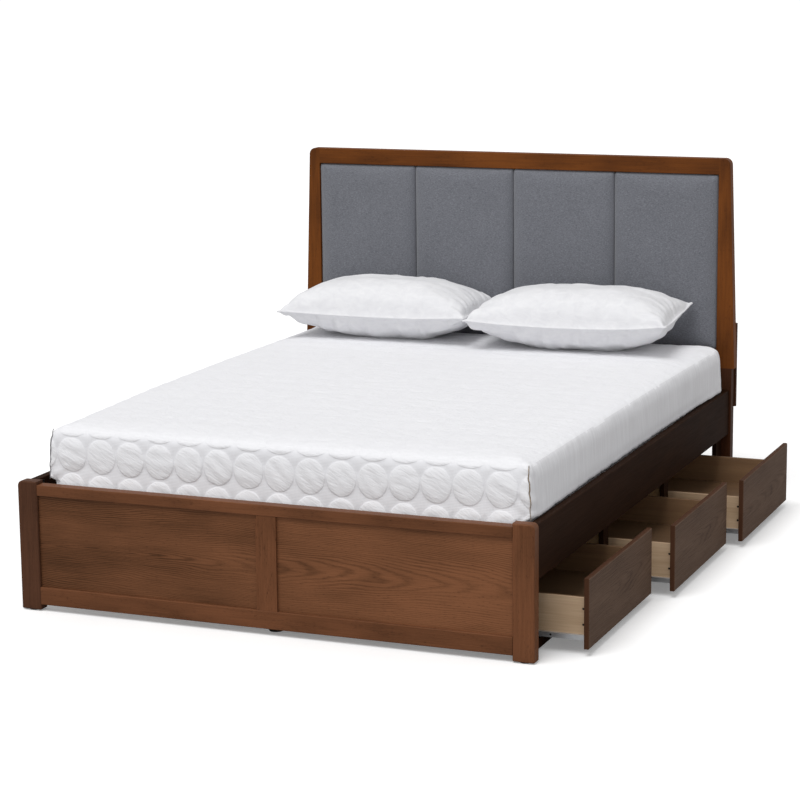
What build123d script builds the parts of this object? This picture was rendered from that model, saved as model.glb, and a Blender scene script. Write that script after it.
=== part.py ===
from build123d import *
import os

# Queen platform bed: upholstered panel headboard, low framed footboard, slatted deck,
# and three storage drawers on roller slides along the right-hand side.
# Millimetres. X across the bed (drawers on +X), Y from foot to head, Z up.
# The origin is on the floor, under the middle leg of the centre beam.

# ---- driving dimensions ----
BED_WIDTH = 1640.0  # over the footboard posts
BED_LENGTH = 2177.0  # footboard front to headboard back
HEAD_HEIGHT = 1213.0
MATTRESS_H = 226.0  # a queen mattress, 1524 by 2032, in a thick quilted cover

GLIDE_T = 3.0
FRAME_T = 40.0  # footboard and headboard frames, front to back

FOOT_POST_W = 66.0
FOOT_POST_TOP = 400.0
FOOT_TOP_RAIL = (357.0, 390.0)  # bottom and top height
FOOT_BOTTOM_RAIL = (20.0, 74.0)
FOOT_STILE_W = 65.0
FOOT_PANEL_T = 9.0
FOOT_PANEL_SET_BACK = 10.0

HEAD_JOINT_Z = 469.0  # where the headboard stands on its legs
HEAD_INNER_X = 765.0
HEAD_OUTER_TOP_X = 805.0
HEAD_OUTER_JOINT_X = 831.0
HEAD_CORNER_R = 24.0
HEAD_TOP_RAIL_H = 57.0
HEAD_LOW_RAIL_H = 65.0
HEAD_LEG = (757.0, 822.0)
SPLICE_T = 16.0
SPLICE_X = (765.0, 828.0)
SPLICE_Z = (326.0, 626.0)
PAD_COUNT = 4
PAD_GAP = 1.5
PAD_PROUD = 10.0
BACK_PANEL_T = 8.0
BACK_PANEL_SET_BACK = 24.0

RAIL_T = 27.0
RAIL_FACE_X = 814.0
RAIL_Z = (232.0, 392.0)
LEDGER_W = 30.0
LEDGER_H = 40.0
SLAT_TOP = 330.0
SLAT_T = 18.0
SLAT_W = 70.0
SLAT_COUNT = 13
BEAM_W = 45.0
BEAM_H = 60.0
CENTRE_LEG_W = 41.0

# drawer side: a face frame of thin boards behind the right-hand rail
FACE_T = 15.0
STRIP_W = 50.0
PLINTH_Z = (6.0, 34.0)
TIE_T = 18.0
TIE_Z = (148.0, 188.0)

DRAWER_COUNT = 3
DRAWER_PITCH = 666.0
DRAWER_MID_Y = 10.0  # centre of the middle drawer
DRAWER_TRAVEL = 370.0
DRAWER_OPEN = (136.0, 195.5, 239.0)  # how far each stands open at rest, foot to head
FRONT_L = 621.0
FRONT_T = 16.0
FRONT_Z = (22.0, 228.0)
FRONT_GAP = 1.0  # closed, between the front and the face frame
BOX_INSET = 18.0  # box side in from the front's end
BOX_DEPTH = 500.0
BOX_T = 12.0
BOX_Z = (43.2, 168.0)
BOTTOM_T = 6.0
BOTTOM_TOP = 78.0
GROOVE = 6.0

# roller slides: bent steel, one roller on each member
STEEL_T = 1.2
SLIDE_GAP = 12.5  # box side to runner board
RUNNER_T = 15.0
RUNNER_Z = (30.0, 100.0)
CHANNEL_Z = (38.0, 66.0)
LIP_TOP = 60.0
AXLE_R = 2.5
ROLLER_BORE_R = 2.6
ROLLER_W = 8.4
FIXED_ROLLER_R = 8.0
MOVING_ROLLER_R = 9.0
FIXED_ROLLER_Z = 50.7
MOVING_ROLLER_Z = 48.3

SCREW_R = 3.0
HOLE_R = 3.1
HEAD_R = 6.0

# ---- places worked out from them ----
HALF_W = BED_WIDTH / 2
FOOT_Y = -BED_LENGTH / 2
FOOT_BACK_Y = FOOT_Y + FRAME_T
HEAD_BACK_Y = BED_LENGTH / 2
HEAD_Y = HEAD_BACK_Y - FRAME_T
POST_IN_X = HALF_W - FOOT_POST_W
RAIL_IN_X = RAIL_FACE_X - RAIL_T
DECK_Z = SLAT_TOP - SLAT_T
BACK_PANEL_Y = HEAD_Y + BACK_PANEL_SET_BACK
PAD_BOTTOM_Z = HEAD_JOINT_Z + HEAD_LOW_RAIL_H
PAD_TOP_Z = HEAD_HEIGHT - HEAD_TOP_RAIL_H
FACE_X = RAIL_IN_X  # outer face of the face frame
FACE_IN_X = FACE_X - FACE_T
FRONT_BACK_X = FACE_X + FRONT_GAP  # back of a closed drawer front
BOX_BACK_X = FRONT_BACK_X - BOX_DEPTH
CHANNEL_END_X = BOX_BACK_X - 16.0
INNER_RAIL_T = 18.0
INNER_RAIL_FEET_H = 12.0
MATTRESS_Y = (-1034.0, 1028.0)
MATTRESS_LOW_X = 779.0  # between the rails
MATTRESS_HIGH_X = 800.0  # where it bulges over them

os.makedirs("parts", exist_ok=True)


def finish(piece, name):
    """Label a finished piece and write it."""
    piece.part.label = name
    export_step(piece.part, f"parts/{name}.step")


def span(x, y, z, mode=Mode.ADD):
    """A box in the open part, from three (low, high) pairs."""
    middle = tuple((low + high) / 2 for low, high in (x, y, z))
    with Locations(middle):
        Box(abs(x[1] - x[0]), abs(y[1] - y[0]), abs(z[1] - z[0]), mode=mode)


def board(x, y, z, edge=1.5):
    """A plain sawn board with lightly eased long edges."""
    with BuildPart() as piece:
        span(x, y, z)
        sides = {Axis.X: x, Axis.Y: y, Axis.Z: z}
        long_axis = max(sides, key=lambda axis: abs(sides[axis][1] - sides[axis][0]))
        if edge:
            fillet(piece.edges().filter_by(long_axis), radius=edge)
    return piece


def sided(side, low, high):
    """The (low, high) pair of a span mirrored to the side's sign."""
    return (side * low, side * high) if side > 0 else (side * high, side * low)


def bar(point, axis, radius, length, mode=Mode.ADD, bore=0.0):
    """A round bar in the open part, from the middle of its first end along axis."""
    with BuildSketch(Plane(origin=point, z_dir=axis)) as section:
        Circle(radius)
        if bore:
            Circle(bore, mode=Mode.SUBTRACT)
    extrude(section.sketch, amount=length, mode=mode)


def drill(points, axis, radius, depth):
    """Blind holes from points on a face into the open part, along axis."""
    for point in points:
        bar(point, axis, radius, depth, Mode.SUBTRACT)


def screw(point, axis, shank, head_t=3.5, head_r=HEAD_R, shank_r=SCREW_R):
    """A pan-head screw in the open part: axis points from the head into the wood."""
    back = tuple(-component for component in axis)
    bar(point, axis, shank_r, shank)
    bar(point, back, head_r, head_t)


# ---- footboard ----
TENON = 20.0  # tenon length
TENON_T = 14.0
TENON_SHOULDER = 9.0
PANEL_Y = (FOOT_Y + FOOT_PANEL_SET_BACK, FOOT_Y + FOOT_PANEL_SET_BACK + FOOT_PANEL_T)
GROOVE_Y = (PANEL_Y[0] - 0.2, PANEL_Y[1] + 0.2)
PANEL_DEEP = 7.0  # how far a panel's edge runs into the frame round it
PANEL_PLAY = 1.0
TENON_Y = (FOOT_Y + FRAME_T / 2 - TENON_T / 2, FOOT_Y + FRAME_T / 2 + TENON_T / 2)
OPEN_Z = (FOOT_BOTTOM_RAIL[1], FOOT_TOP_RAIL[0])
PANEL_SLOT_Z = (OPEN_Z[0] - PANEL_DEEP - PANEL_PLAY, OPEN_Z[1] + PANEL_DEEP + PANEL_PLAY)
BRACKET_T = 3.0
BRACKET_Z = (335.0, 385.0)
BRACKET_BOLT_Z = (348.0, 372.0)
POST_BOLT_X = 770.0

for side, word in ((-1, "left"), (1, "right")):
    with BuildPart() as foot_post:
        with BuildSketch(Plane.XZ.offset(-FOOT_Y)) as outline:
            with Locations((side * (POST_IN_X + FOOT_POST_W / 2), (FOOT_POST_TOP + GLIDE_T) / 2)):
                Rectangle(FOOT_POST_W, FOOT_POST_TOP - GLIDE_T)
            top_pair = outline.vertices().group_by(Axis.Y)[-1].sort_by(Axis.X)
            fillet(top_pair[-1 if side > 0 else 0], radius=16)
            fillet(outline.vertices().group_by(Axis.Y)[0], radius=4)
        extrude(amount=-FRAME_T)
        upright = foot_post.edges().filter_by(Axis.Z).sort_by(Axis.X)
        fillet(upright[-2:] if side > 0 else upright[:2], radius=5)
        inner = sided(side, POST_IN_X, POST_IN_X + PANEL_DEEP + PANEL_PLAY)
        span(inner, GROOVE_Y, PANEL_SLOT_Z, mode=Mode.SUBTRACT)
        for low, high in (FOOT_TOP_RAIL, FOOT_BOTTOM_RAIL):
            mortise_z = (low + TENON_SHOULDER - 0.2, high - TENON_SHOULDER + 0.2)
            mortise_y = (TENON_Y[0] - 0.1, TENON_Y[1] + 0.1)
            span(sided(side, POST_IN_X, POST_IN_X + TENON + 1), mortise_y, mortise_z, mode=Mode.SUBTRACT)
        drill([(side * POST_BOLT_X, FOOT_BACK_Y, z) for z in BRACKET_BOLT_Z], (0, -1, 0), HOLE_R, 13)
    finish(foot_post, f"foot_post_{word}")

for name, (low, high) in (("foot_top_rail", FOOT_TOP_RAIL), ("foot_bottom_rail", FOOT_BOTTOM_RAIL)):
    with BuildPart() as foot_rail:
        span((-POST_IN_X, POST_IN_X), (FOOT_Y + 1, FOOT_BACK_Y - 1), (low, high))
        fillet(foot_rail.edges().filter_by(Axis.X), radius=2.5)
        tenon_x = POST_IN_X + TENON
        span((-tenon_x, tenon_x), TENON_Y, (low + TENON_SHOULDER, high - TENON_SHOULDER))
        groove_z = (low, low + PANEL_DEEP + PANEL_PLAY)
        if name == "foot_bottom_rail":
            groove_z = (high - PANEL_DEEP - PANEL_PLAY, high)
        span((-POST_IN_X, POST_IN_X), GROOVE_Y, groove_z, mode=Mode.SUBTRACT)
    finish(foot_rail, name)

with BuildPart() as foot_mid_stile:
    stile_x = FOOT_STILE_W / 2
    span((-stile_x, stile_x), (FOOT_Y + 2, FOOT_Y + 30), OPEN_Z)
    for side in (-1, 1):
        span(sided(side, stile_x - PANEL_DEEP - PANEL_PLAY, stile_x), GROOVE_Y, OPEN_Z, mode=Mode.SUBTRACT)
    span((-12, 12), PANEL_Y, (OPEN_Z[0] - PANEL_DEEP, OPEN_Z[1] + PANEL_DEEP))
finish(foot_mid_stile, "foot_mid_stile")

with BuildPart() as foot_panels:
    for side in (-1, 1):
        panel_x = sided(side, stile_x - PANEL_DEEP, POST_IN_X + PANEL_DEEP)
        span(panel_x, PANEL_Y, (OPEN_Z[0] - PANEL_DEEP, OPEN_Z[1] + PANEL_DEEP))
finish(foot_panels, "foot_panels")

# ---- headboard ----
HEAD_PANEL_DEEP = 7.0
SPLICE_BOLT_Z = (360.0, 430.0, 510.0, 590.0)
SPLICE_BOLT_X = 795.0
SPLICE_BACK_Y = HEAD_BACK_Y + SPLICE_T
SPLICE_SHANK = SPLICE_T + 22

for side, word in ((-1, "left"), (1, "right")):
    with BuildPart() as head_post:
        with BuildSketch(Plane.XZ.offset(-HEAD_Y)) as outline:
            with BuildLine():
                Polyline(
                    (side * HEAD_INNER_X, HEAD_JOINT_Z),
                    (side * HEAD_OUTER_JOINT_X, HEAD_JOINT_Z),
                    (side * HEAD_OUTER_TOP_X, HEAD_HEIGHT),
                    (side * HEAD_INNER_X, HEAD_HEIGHT),
                    close=True,
                )
            make_face()
            top_pair = outline.vertices().group_by(Axis.Y)[-1].sort_by(Axis.X)
            fillet(top_pair[-1 if side > 0 else 0], radius=HEAD_CORNER_R)
        extrude(amount=-FRAME_T)
        outer_face = head_post.faces().sort_by(Axis.X)[-1 if side > 0 else 0]
        fillet(outer_face.edges().filter_by(Axis.Y, reverse=True), radius=3)
        groove_x = sided(side, HEAD_INNER_X, HEAD_INNER_X + HEAD_PANEL_DEEP + PANEL_PLAY)
        groove_y = (BACK_PANEL_Y - 0.2, BACK_PANEL_Y + BACK_PANEL_T + 0.2)
        groove_z = (PAD_BOTTOM_Z - HEAD_PANEL_DEEP - PANEL_PLAY, PAD_TOP_Z + HEAD_PANEL_DEEP + PANEL_PLAY)
        span(groove_x, groove_y, groove_z, mode=Mode.SUBTRACT)
        bolt_points = [(side * SPLICE_BOLT_X, HEAD_BACK_Y, z) for z in SPLICE_BOLT_Z[2:]]
        drill(bolt_points, (0, -1, 0), HOLE_R, 23)
    finish(head_post, f"head_post_{word}")

    with BuildPart() as head_leg:
        span(sided(side, *HEAD_LEG), (HEAD_Y, HEAD_BACK_Y), (GLIDE_T, HEAD_JOINT_Z))
        upright = head_leg.edges().filter_by(Axis.Z).sort_by(Axis.X)
        fillet(upright[-2:] if side > 0 else upright[:2], radius=3)
        drill([(side * SPLICE_BOLT_X, HEAD_BACK_Y, z) for z in SPLICE_BOLT_Z[:2]], (0, -1, 0), HOLE_R, 23)
        drill([(side * POST_BOLT_X, HEAD_Y, z) for z in BRACKET_BOLT_Z], (0, 1, 0), HOLE_R, 13)
    finish(head_leg, f"head_leg_{word}")

with BuildPart() as splice_boards:
    for side in (-1, 1):
        span(sided(side, *SPLICE_X), (HEAD_BACK_Y, SPLICE_BACK_Y), SPLICE_Z)
    fillet(splice_boards.edges().filter_by(Axis.Z), radius=2)
    for side in (-1, 1):
        points = [(side * SPLICE_BOLT_X, SPLICE_BACK_Y, z) for z in SPLICE_BOLT_Z]
        drill(points, (0, -1, 0), HOLE_R, SPLICE_T)
finish(splice_boards, "splice_boards")

GROOVE_DEEP = HEAD_PANEL_DEEP + PANEL_PLAY
TOP_GROOVE_Z = (PAD_TOP_Z, PAD_TOP_Z + GROOVE_DEEP)
LOW_GROOVE_Z = (PAD_BOTTOM_Z - GROOVE_DEEP, PAD_BOTTOM_Z)
HEAD_RAILS = (
    ("head_top_rail", (PAD_TOP_Z, HEAD_HEIGHT), (HEAD_Y, HEAD_BACK_Y), TOP_GROOVE_Z),
    ("head_low_rail", (HEAD_JOINT_Z, PAD_BOTTOM_Z), (HEAD_Y + 2, HEAD_BACK_Y - 2), LOW_GROOVE_Z),
)
for name, rail_z, rail_y, groove_z in HEAD_RAILS:
    with BuildPart() as head_rail:
        span((-HEAD_INNER_X, HEAD_INNER_X), rail_y, rail_z)
        fillet(head_rail.edges().filter_by(Axis.X), radius=3)
        span((-HEAD_INNER_X, HEAD_INNER_X), groove_y, groove_z, mode=Mode.SUBTRACT)
    finish(head_rail, name)

with BuildPart() as head_back_panel:
    panel_x = HEAD_INNER_X + HEAD_PANEL_DEEP
    panel_z = (PAD_BOTTOM_Z - HEAD_PANEL_DEEP, PAD_TOP_Z + HEAD_PANEL_DEEP)
    span((-panel_x, panel_x), (BACK_PANEL_Y, BACK_PANEL_Y + BACK_PANEL_T), panel_z)
finish(head_back_panel, "head_back_panel")

pad_w = 2 * HEAD_INNER_X / PAD_COUNT
for number in range(PAD_COUNT):
    left = -HEAD_INNER_X + number * pad_w
    with BuildPart() as head_pad:
        pad_x = (left + PAD_GAP / 2, left + pad_w - PAD_GAP / 2)
        span(pad_x, (HEAD_Y - PAD_PROUD, BACK_PANEL_Y - 0.5), (PAD_BOTTOM_Z + 1, PAD_TOP_Z - 1))
        fillet(head_pad.faces().sort_by(Axis.Y)[0].edges(), radius=14)
    finish(head_pad, f"head_pad_{number + 1}")

finish(board((-HEAD_LEG[0], HEAD_LEG[0]), (HEAD_Y + 8, HEAD_Y + 33), RAIL_Z), "head_cross_rail")

# ---- side rails, deck and centre support ----
BRACKET_ARM_Y = 60.0
BRACKET_ARM_X = RAIL_IN_X - POST_IN_X
ARM_BOLT_Y = (25.0, 48.0)  # rail bolts, from the end of the rail
RAIL_BOLT_Z = sum(BRACKET_Z) / 2
RAIL_ENDS = ((FOOT_BACK_Y, 1), (HEAD_Y, -1))  # where a rail stops, and the way back along it

for side, word in ((-1, "left"), (1, "right")):
    with BuildPart() as side_rail:
        span(sided(side, RAIL_IN_X, RAIL_FACE_X), (FOOT_BACK_Y, HEAD_Y), RAIL_Z)
        fillet(side_rail.edges().filter_by(Axis.Y), radius=3)
        for end_y, inward in RAIL_ENDS:
            points = [(side * RAIL_IN_X, end_y + inward * y, RAIL_BOLT_Z) for y in ARM_BOLT_Y]
            drill(points, (side, 0, 0), HOLE_R, 17)
    finish(side_rail, f"side_rail_{word}")

with BuildPart() as slat_ledgers:
    for side in (-1, 1):
        ledger_x = sided(side, RAIL_IN_X - LEDGER_W, RAIL_IN_X)
        span(ledger_x, (FOOT_BACK_Y, HEAD_Y), (DECK_Z - LEDGER_H, DECK_Z))
    fillet(slat_ledgers.edges().filter_by(Axis.Y), radius=1.5)
finish(slat_ledgers, "slat_ledgers")

with BuildPart() as corner_brackets:
    for side in (-1, 1):
        for end_y, inward in RAIL_ENDS:
            plate_y = tuple(sorted((end_y, end_y + inward * BRACKET_T)))
            arm_y = tuple(sorted((end_y, end_y + inward * BRACKET_ARM_Y)))
            span(sided(side, POST_IN_X + 4, RAIL_IN_X), plate_y, BRACKET_Z)
            span(sided(side, RAIL_IN_X - BRACKET_T, RAIL_IN_X), arm_y, BRACKET_Z)
            hole_x = side * POST_BOLT_X
            holes = [(hole_x, end_y + inward * BRACKET_T, z) for z in BRACKET_BOLT_Z]
            drill(holes, (0, -inward, 0), HOLE_R, BRACKET_T)
            arm_x = side * (RAIL_IN_X - BRACKET_T)
            holes = [(arm_x, end_y + inward * y, RAIL_BOLT_Z) for y in ARM_BOLT_Y]
            drill(holes, (side, 0, 0), HOLE_R, BRACKET_T)
finish(corner_brackets, "corner_brackets")

with BuildPart() as frame_bolts:
    for side in (-1, 1):
        for z in SPLICE_BOLT_Z:
            screw((side * SPLICE_BOLT_X, SPLICE_BACK_Y, z), (0, -1, 0), SPLICE_SHANK)
        for end_y, inward in RAIL_ENDS:
            for z in BRACKET_BOLT_Z:
                screw((side * POST_BOLT_X, end_y + inward * BRACKET_T, z), (0, -inward, 0), 15)
            for y in ARM_BOLT_Y:
                arm_x = side * (RAIL_IN_X - BRACKET_T)
                screw((arm_x, end_y + inward * y, RAIL_BOLT_Z), (side, 0, 0), 19)
finish(frame_bolts, "frame_bolts")

finish(board((-BEAM_W / 2, BEAM_W / 2), (FOOT_BACK_Y, HEAD_Y), (DECK_Z - BEAM_H, DECK_Z)), "centre_beam")

slat_end = RAIL_IN_X - 4
slat_run = HEAD_Y - FOOT_BACK_Y - SLAT_W - 40
with BuildPart() as slats:
    for number in range(SLAT_COUNT):
        y = slat_run * (number / (SLAT_COUNT - 1) - 0.5)
        span((-slat_end, slat_end), (y - SLAT_W / 2, y + SLAT_W / 2), (DECK_Z, SLAT_TOP))
    fillet(slats.edges().filter_by(Axis.X), radius=2)
finish(slats, "slats")

CENTRE_LEG_Y = (-1018.0, 0.0, 1018.0)
CENTRE_GLIDE_Y = (-1025.0, 0.0, 1025.0)
RAIL_LEG_Y = (-330.0, 340.0)
RAIL_LEG_W = 50.0
half_leg = CENTRE_LEG_W / 2
with BuildPart() as support_legs:
    for y in CENTRE_LEG_Y:
        span((-half_leg, half_leg), (y - half_leg, y + half_leg), (GLIDE_T, DECK_Z - BEAM_H))
    for y in RAIL_LEG_Y:
        leg_y = (y - RAIL_LEG_W / 2, y + RAIL_LEG_W / 2)
        span((-RAIL_FACE_X, -RAIL_IN_X), leg_y, (GLIDE_T, RAIL_Z[0]))
    fillet(support_legs.edges().filter_by(Axis.Z), radius=3)
finish(support_legs, "support_legs")

# ---- drawer bay: face frame, runner boards and inner rail ----
fronts_y = []  # (low, high) of each drawer front
for number in range(DRAWER_COUNT):
    middle = DRAWER_MID_Y + (number - (DRAWER_COUNT - 1) / 2) * DRAWER_PITCH
    fronts_y.append((middle - FRONT_L / 2, middle + FRONT_L / 2))
boxes_y = [(low + BOX_INSET, high - BOX_INSET) for low, high in fronts_y]
runner_reach = SLIDE_GAP + RUNNER_T

post_mids = [(fronts_y[n][1] + fronts_y[n + 1][0]) / 2 for n in range(DRAWER_COUNT - 1)]
strips_y = [(FOOT_BACK_Y, boxes_y[0][0] - SLIDE_GAP - 3)]
strips_y += [(middle - STRIP_W / 2, middle + STRIP_W / 2) for middle in post_mids]
strips_y.append((boxes_y[-1][1] + SLIDE_GAP + 3, HEAD_Y))

with BuildPart() as face_frame:
    for strip_y in strips_y:
        span((FACE_IN_X, FACE_X), strip_y, (PLINTH_Z[1], DECK_Z - LEDGER_H))
    span((FACE_IN_X, FACE_X), (FOOT_BACK_Y, HEAD_Y), PLINTH_Z)
finish(face_frame, "face_frame")

inner_rail_x = (CHANNEL_END_X - INNER_RAIL_T, CHANNEL_END_X)
inner_rail_z = (INNER_RAIL_FEET_H, TIE_Z[1])
finish(board(inner_rail_x, (FOOT_BACK_Y, HEAD_Y), inner_rail_z), "inner_drawer_rail")

with BuildPart() as runner_boards:
    for low, high in boxes_y:
        for runner_y in ((low - runner_reach, low - SLIDE_GAP), (high + SLIDE_GAP, high + runner_reach)):
            span((CHANNEL_END_X, FACE_IN_X), runner_y, RUNNER_Z)
finish(runner_boards, "runner_boards")

with BuildPart() as cross_ties:
    for middle in post_mids:
        span((CHANNEL_END_X, FACE_IN_X), (middle - TIE_T / 2 + 1, middle + TIE_T / 2 - 1), TIE_Z)
finish(cross_ties, "cross_ties")

with BuildPart() as glides:
    post_x = POST_IN_X + FOOT_POST_W / 2
    leg_x = sum(HEAD_LEG) / 2
    frame_mid = FRAME_T / 2
    for side in (-1, 1):
        for x, y in ((post_x, FOOT_Y + frame_mid), (leg_x, HEAD_Y + frame_mid)):
            with Locations((side * x, y, GLIDE_T / 2)):
                Cylinder(15, GLIDE_T)
    with Locations([(0, y, GLIDE_T / 2) for y in CENTRE_GLIDE_Y]):
        Cylinder(21, GLIDE_T)
    with Locations([(-(RAIL_IN_X + RAIL_T / 2), y, GLIDE_T / 2) for y in RAIL_LEG_Y]):
        Cylinder(11, GLIDE_T)
    with Locations([(sum(inner_rail_x) / 2, y, INNER_RAIL_FEET_H / 2) for y in (-960, 0, 960)]):
        Cylinder(8, INNER_RAIL_FEET_H)
finish(glides, "glides")

# ---- roller slides ----
FIXED_ROLLER_X = FACE_IN_X - 13
MOVING_ROLLER_X = BOX_BACK_X + 15
AXLE_L = 10.0
ROLLER_OFF = 2.3  # roller's inner face from the box side


def slide_span(face_y, out, near, far):
    """A (low, high) pair in Y, measured outwards from the box side at face_y."""
    return tuple(sorted((face_y + out * near, face_y + out * far)))


def roller_pair(x, z, radius, box_y):
    """The two nylon rollers on one line across a drawer."""
    with BuildPart() as rollers:
        for face_y, out in ((box_y[0], -1), (box_y[1], 1)):
            start = (x, face_y + out * ROLLER_OFF, z)
            bar(start, (0, out, 0), radius, ROLLER_W, bore=ROLLER_BORE_R)
    return rollers


with BuildPart() as cabinet_slides:
    for low, high in boxes_y:
        for face_y, out in ((low, -1), (high, 1)):
            channel_x = (CHANNEL_END_X, FACE_IN_X)
            web_y = slide_span(face_y, out, SLIDE_GAP - STEEL_T, SLIDE_GAP)
            flange_y = slide_span(face_y, out, 2, SLIDE_GAP)
            span(channel_x, web_y, CHANNEL_Z)
            span(channel_x, flange_y, (CHANNEL_Z[0], CHANNEL_Z[0] + STEEL_T))
            top_x = (CHANNEL_END_X, FIXED_ROLLER_X - FIXED_ROLLER_R - 4)
            span(top_x, flange_y, (CHANNEL_Z[1] - STEEL_T, CHANNEL_Z[1]))
            axle_start = (FIXED_ROLLER_X, face_y + out * (SLIDE_GAP - STEEL_T), FIXED_ROLLER_Z)
            bar(axle_start, (0, -out, 0), AXLE_R, AXLE_L - 1)
finish(cabinet_slides, "cabinet_slides")

# ---- drawers ----
LOCK_Z = (88.0, 134.0)  # fixing holes in the box side, beside the front
LOCK_BACK = 7.0
LOCK_R = 3.5
LOCK_DEEP = 8.0
SLIDE_SCREW_X = (-104.0, -380.0)  # from the back of the front
SLIDE_SCREW_Z = 50.5
BACK_SCREW_Z = (66.0, 140.0)

for number in range(DRAWER_COUNT):
    tag = number + 1
    shift = DRAWER_OPEN[number]
    front_y = fronts_y[number]
    box_y = boxes_y[number]
    face_x = FRONT_BACK_X + shift  # back of this front as it stands at rest
    back_x = BOX_BACK_X + shift
    walls = ((box_y[0], 1), (box_y[1], -1))  # outer face of each side wall, and the way inwards
    floor_z = (BOTTOM_TOP - BOTTOM_T, BOTTOM_TOP)
    slot_z = (floor_z[0] - 0.15, floor_z[1] + 0.15)

    with BuildPart() as drawer_front:
        span((face_x, face_x + FRONT_T), front_y, FRONT_Z)
        fillet(drawer_front.faces().sort_by(Axis.X)[-1].edges(), radius=4)
        fillet(drawer_front.faces().sort_by(Axis.X)[0].edges(), radius=2)
        floor_y = (box_y[0] + BOX_T - GROOVE - 0.5, box_y[1] - BOX_T + GROOVE + 0.5)
        span((face_x, face_x + GROOVE + 0.5), floor_y, slot_z, mode=Mode.SUBTRACT)
    finish(drawer_front, f"drawer_front_{tag}")

    with BuildPart() as drawer_sides:
        for wall_y, inward in walls:
            span((back_x, face_x), tuple(sorted((wall_y, wall_y + inward * BOX_T))), BOX_Z)
        fillet(drawer_sides.edges().group_by(Axis.Z)[-1].filter_by(Axis.X), radius=2)
        for wall_y, inward in walls:
            inner_y = wall_y + inward * BOX_T
            slot_y = tuple(sorted((inner_y - inward * (GROOVE + 0.5), inner_y)))
            span((back_x, face_x), slot_y, slot_z, mode=Mode.SUBTRACT)
            locks_at = [(face_x - LOCK_BACK, wall_y, z) for z in LOCK_Z]
            drill(locks_at, (0, inward, 0), LOCK_R + 0.1, LOCK_DEEP)
            screws_at = [(face_x + x, wall_y, SLIDE_SCREW_Z) for x in SLIDE_SCREW_X]
            drill(screws_at, (0, inward, 0), 2.1, 10)
            drill([(back_x + BOX_T / 2, wall_y, z) for z in BACK_SCREW_Z], (0, inward, 0), 2.6, BOX_T)
    finish(drawer_sides, f"drawer_sides_{tag}")

    with BuildPart() as drawer_back:
        span((back_x, back_x + BOX_T), (box_y[0] + BOX_T, box_y[1] - BOX_T), BOX_Z)
        fillet(drawer_back.faces().sort_by(Axis.Z)[-1].edges().filter_by(Axis.Y), radius=2)
        back_floor_y = (box_y[0] + BOX_T, box_y[1] - BOX_T)
        span((back_x + BOX_T - GROOVE - 0.5, back_x + BOX_T), back_floor_y, slot_z, mode=Mode.SUBTRACT)
        for wall_y, inward in walls:
            ends = [(back_x + BOX_T / 2, wall_y + inward * BOX_T, z) for z in BACK_SCREW_Z]
            drill(ends, (0, inward, 0), 2.6, 19)
    finish(drawer_back, f"drawer_back_{tag}")

    with BuildPart() as drawer_bottom:
        reach = BOX_T - GROOVE
        span((back_x + reach, face_x + GROOVE), (box_y[0] + reach, box_y[1] - reach), floor_z)
    finish(drawer_bottom, f"drawer_bottom_{tag}")

    with BuildPart() as drawer_slides:
        for face_y, out in ((box_y[0], -1), (box_y[1], 1)):
            lip_z = (LIP_TOP - STEEL_T, LIP_TOP)
            foot_z = (BOX_Z[0] - STEEL_T, BOX_Z[0])
            span((back_x, face_x), slide_span(face_y, out, 0, STEEL_T), (foot_z[0], LIP_TOP))
            span((back_x, face_x), slide_span(face_y, out, 0, SLIDE_GAP - 1.7), lip_z)
            span((back_x, face_x), slide_span(face_y, out, -BOX_T, STEEL_T), foot_z)
            holes = [(face_x + x, face_y + out * STEEL_T, SLIDE_SCREW_Z) for x in SLIDE_SCREW_X]
            drill(holes, (0, -out, 0), 2.1, STEEL_T)
            axle_start = (MOVING_ROLLER_X + shift, face_y + out * STEEL_T, MOVING_ROLLER_Z)
            bar(axle_start, (0, out, 0), AXLE_R, AXLE_L)
    finish(drawer_slides, f"drawer_slides_{tag}")

    with BuildPart() as drawer_screws:
        for wall_y, inward in walls:
            for z in LOCK_Z:
                seat = wall_y + inward * LOCK_DEEP
                bar((face_x - LOCK_BACK, seat, z), (0, -inward, 0), LOCK_R, LOCK_DEEP - 2)
            for x in SLIDE_SCREW_X:
                top = wall_y - inward * STEEL_T
                screw((face_x + x, top, SLIDE_SCREW_Z), (0, inward, 0), 10, 0.9, 3.2, 2.0)
            for z in BACK_SCREW_Z:
                screw((back_x + BOX_T / 2, wall_y, z), (0, inward, 0), 30, 0.9, 4.0, 2.5)
    finish(drawer_screws, f"drawer_screws_{tag}")

    finish(roller_pair(FIXED_ROLLER_X, FIXED_ROLLER_Z, FIXED_ROLLER_R, box_y), f"cabinet_rollers_{tag}")
    moving_x = MOVING_ROLLER_X + shift
    finish(roller_pair(moving_x, MOVING_ROLLER_Z, MOVING_ROLLER_R, box_y), f"drawer_rollers_{tag}")

# ---- bedding ----
MATTRESS_LIFT = 0.5
bottom = SLAT_TOP + MATTRESS_LIFT
mattress_top = bottom + MATTRESS_H
ledge_z = RAIL_Z[1] + MATTRESS_LIFT
with BuildPart() as mattress:
    span((-MATTRESS_LOW_X, MATTRESS_LOW_X), MATTRESS_Y, (bottom, ledge_z + 1))
    span((-MATTRESS_HIGH_X, MATTRESS_HIGH_X), MATTRESS_Y, (ledge_z, mattress_top))
    fillet(mattress.edges().filter_by(Axis.Z), radius=14)
    fillet(mattress.faces().sort_by(Axis.Z)[-1].edges(), radius=28)
finish(mattress, "mattress")

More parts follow.
